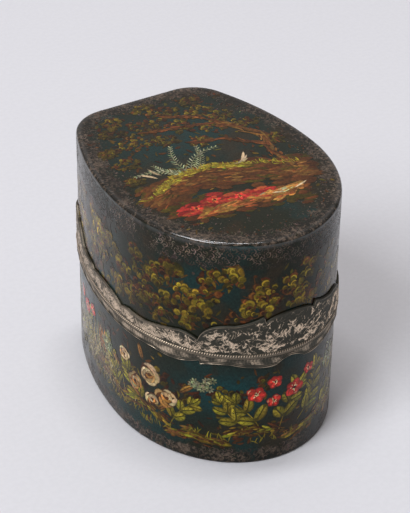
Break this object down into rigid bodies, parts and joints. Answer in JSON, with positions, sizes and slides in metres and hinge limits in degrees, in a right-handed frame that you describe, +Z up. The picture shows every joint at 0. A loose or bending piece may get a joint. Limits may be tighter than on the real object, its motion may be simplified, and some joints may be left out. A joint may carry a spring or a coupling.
{
  "type": "necessaire case",
  "caption": "Small upright lacquered case of bullet-shaped plan with a hinged deep lid, chased silver mounts at the joint, an inner collar and a lined, divided base.",
  "frame": {"origin": "middle of the underside, at the bottom centre of the whole object's box", "axes": "+Z up, -Y towards the rounded nose, +Y towards the flat back with the hinge, +X across the case"},
  "size_m": [0.0516, 0.067, 0.058],
  "materials": {
    "lacquer": "very dark green-black painted ground under an aged glossy varnish",
    "silver": "chased, oxidised silver, pale on the worn high spots",
    "silk": "faded crimson silk, matt",
    "steel": "drawn wire, dull"
  },
  "bodies": {
    "base": {"base_wall": "lacquer", "base_floor": "lacquer", "base_mount": "silver", "base_collar": "silver", "base_hinge_leaf": "silver", "hinge_pin": "steel", "base_lining": "silk", "front_divider": "silk", "back_divider": "silk", "middle_divider": "silk", "base_mount_pin_1": "silver", "base_mount_pin_2": "silver", "base_mount_pin_3": "silver", "base_mount_pin_4": "silver", "base_mount_pin_5": "silver", "base_mount_pin_6": "silver", "base_mount_pin_7": "silver", "base_mount_pin_8": "silver"},
    "lid": {"lid_wall": "lacquer", "lid_top": "lacquer", "lid_mount": "silver", "lid_rope_border": "silver", "lid_hinge_leaf": "silver", "lid_lining": "silk", "lid_mount_pin_1": "silver", "lid_mount_pin_2": "silver", "lid_mount_pin_3": "silver", "lid_mount_pin_4": "silver", "lid_mount_pin_5": "silver", "lid_mount_pin_6": "silver", "lid_mount_pin_7": "silver", "lid_mount_pin_8": "silver"}
  },
  "joints": [
    {"name": "lid_hinge", "type": "hinge", "parent": "base", "child": "lid", "pos_m": [0, 0.03232, 0.02895], "axis": [-1, 0, 0], "range_deg": [0, 100]}
  ]
}
